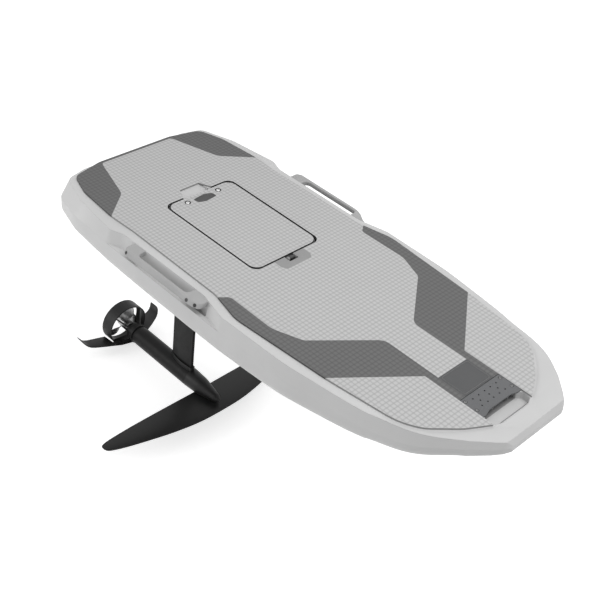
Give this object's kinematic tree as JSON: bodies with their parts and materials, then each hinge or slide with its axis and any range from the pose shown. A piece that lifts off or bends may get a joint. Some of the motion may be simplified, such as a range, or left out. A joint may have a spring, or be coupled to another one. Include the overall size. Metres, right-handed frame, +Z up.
{
  "type": "electric hydrofoil surfboard",
  "caption": "Electric hydrofoil surfboard with a grip-padded board, battery hatch, side handles, mast, drive pod, ducted propeller, front wing and stabiliser.",
  "frame": {"origin": "mid-length of the board on the centre line, at the height of the resting waterline", "axes": "+X towards the nose, +Y to port, +Z up"},
  "size_m": [1.911, 0.956, 0.953],
  "materials": {
    "hull_shell": "satin",
    "pad_light": "matte",
    "pad_dark": "matte",
    "plate_dark": "satin",
    "battery_case": "matte",
    "seal_rubber": "matte",
    "lid_plastic": "satin",
    "black_plastic": "satin",
    "stainless": "brushed",
    "handle_grey": "matte",
    "black_metal": "anodised",
    "motor_steel": "brushed",
    "carbon_black": "satin",
    "propeller_metal": "cast"
  },
  "bodies": {
    "board": {"battery_pack": "battery_case", "bow_handle_plate": "plate_dark", "deck_pad_light": "pad_light", "drive_motor": "motor_steel", "drive_pod": "black_metal", "front_wing": "carbon_black", "hatch_seal": "seal_rubber", "hinge_bracket": "stainless", "hinge_cover": "lid_plastic", "hinge_pin": "stainless", "hull": "hull_shell", "mast": "black_metal", "mast_base_plate": "black_metal", "mast_collar": "black_plastic", "name_plate_blank": "plate_dark", "nose_fairing": "black_plastic", "propeller_guard": "black_plastic", "side_handle_port": "handle_grey", "side_handle_starboard": "handle_grey", "side_pad_port": "pad_dark", "side_pad_starboard": "pad_dark", "stabiliser": "carbon_black", "tail_pad_dark": "pad_dark"},
    "propeller_unit": {"propeller": "propeller_metal", "propeller_shaft": "stainless", "propeller_nut": "propeller_metal"},
    "hatch": {"hatch_lid": "lid_plastic", "hatch_lid_pad": "pad_light", "hatch_latch": "black_plastic"}
  },
  "joints": [
    {"name": "propeller_spin", "type": "hinge", "parent": "board", "child": "propeller_unit", "pos_m": [-0.946, 0, -0.731], "axis": [1, 0, 0], "continuous": true},
    {"name": "hatch_hinge", "type": "hinge", "parent": "board", "child": "hatch", "pos_m": [-0.083, 0, 0.114], "axis": [0, 1, 0], "range_deg": [0, 100]}
  ]
}
